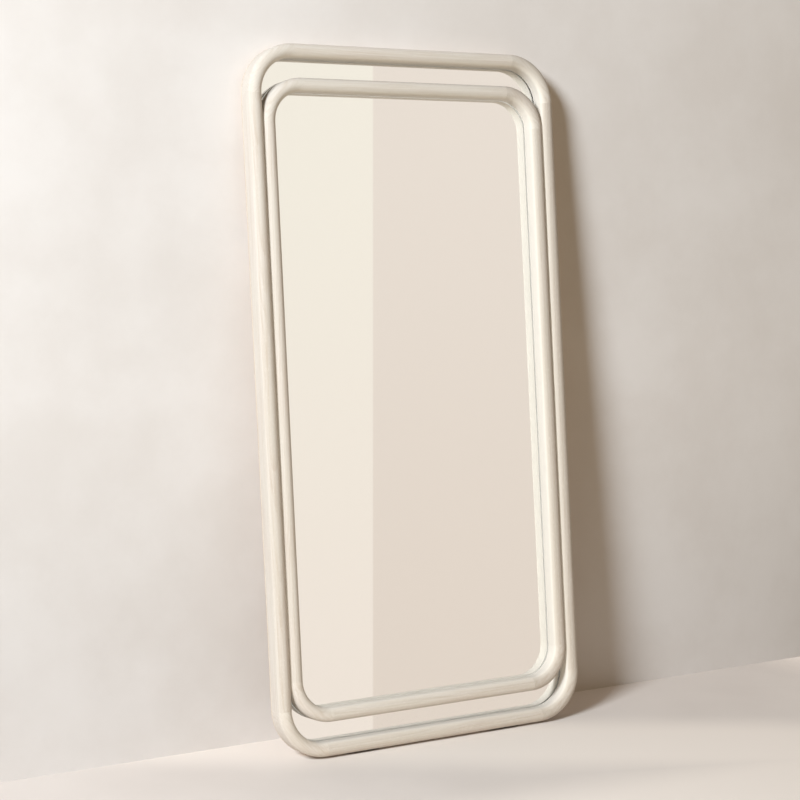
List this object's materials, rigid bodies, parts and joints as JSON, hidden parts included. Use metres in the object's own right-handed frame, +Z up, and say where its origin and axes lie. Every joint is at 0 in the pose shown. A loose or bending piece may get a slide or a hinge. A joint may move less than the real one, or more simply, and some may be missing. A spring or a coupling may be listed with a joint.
{
  "type": "leaning floor mirror",
  "caption": "Full-length leaning floor mirror: a tall rounded-rectangle bullnose wood frame with a shorter matching frame set on the glass inside it.",
  "frame": {"origin": "on the floor, under the middle of the bounding box", "axes": "+X to the viewer's right, +Y towards the wall behind the mirror, +Z up; the mirror leans back 5.5 degrees towards +Y"},
  "size_m": [0.974, 0.2512, 1.9271],
  "materials": {
    "whitewashed_wood": "whitewashed open-grain wood, matt lacquer",
    "dowel_wood": "raw beech",
    "clear_glass": "clear float glass with polished edges",
    "silvering": "silvered front, painted back",
    "cushion_tape": "white closed-cell foam tape",
    "packing_foam": "polyethylene foam sheet",
    "fibreboard": "medium-density fibreboard, raw",
    "block_rubber": "neoprene",
    "zinc_steel": "zinc-plated",
    "screw_steel": "zinc-plated",
    "ring_steel": "nickel-plated wire",
    "pad_rubber": "ribbed non-slip rubber",
    "bumper_rubber": "soft cream rubber"
  },
  "bodies": {
    "root": {"outer_top_rail": "whitewashed_wood", "outer_bottom_rail": "whitewashed_wood", "outer_left_stile": "whitewashed_wood", "outer_right_stile": "whitewashed_wood", "outer_corner_top_left": "whitewashed_wood", "outer_corner_top_right": "whitewashed_wood", "outer_corner_bottom_left": "whitewashed_wood", "outer_corner_bottom_right": "whitewashed_wood", "inner_top_rail": "whitewashed_wood", "inner_bottom_rail": "whitewashed_wood", "inner_left_stile": "whitewashed_wood", "inner_right_stile": "whitewashed_wood", "inner_corner_top_left": "whitewashed_wood", "inner_corner_top_right": "whitewashed_wood", "inner_corner_bottom_left": "whitewashed_wood", "inner_corner_bottom_right": "whitewashed_wood", "outer_joint_dowels": "dowel_wood", "inner_joint_dowels": "dowel_wood", "stile_dowels": "dowel_wood", "mirror_glass": "clear_glass", "mirror_silvering": "silvering", "rebate_tape": "cushion_tape", "inner_frame_tape": "cushion_tape", "foam_sheet": "packing_foam", "backing_board": "fibreboard", "setting_blocks": "block_rubber", "retainer_plates": "zinc_steel", "retainer_screws": "screw_steel", "hanger_screws": "screw_steel", "hanger_strap_left": "zinc_steel", "hanger_strap_right": "zinc_steel", "floor_pad_left": "pad_rubber", "floor_pad_right": "pad_rubber", "wall_bumper_left": "bumper_rubber", "wall_bumper_right": "bumper_rubber"},
    "ring_left": {"hanger_ring_left": "ring_steel"},
    "ring_right": {"hanger_ring_right": "ring_steel"}
  },
  "joints": [
    {"name": "ring_left_swing", "type": "hinge", "parent": "root", "child": "ring_left", "pos_m": [-0.467, 0.0794, 1.43952], "axis": [1, 0, 0], "range_deg": [-5, 176]},
    {"name": "ring_right_swing", "type": "hinge", "parent": "root", "child": "ring_right", "pos_m": [0.467, 0.0794, 1.43952], "axis": [1, 0, 0], "range_deg": [-5, 176]}
  ]
}
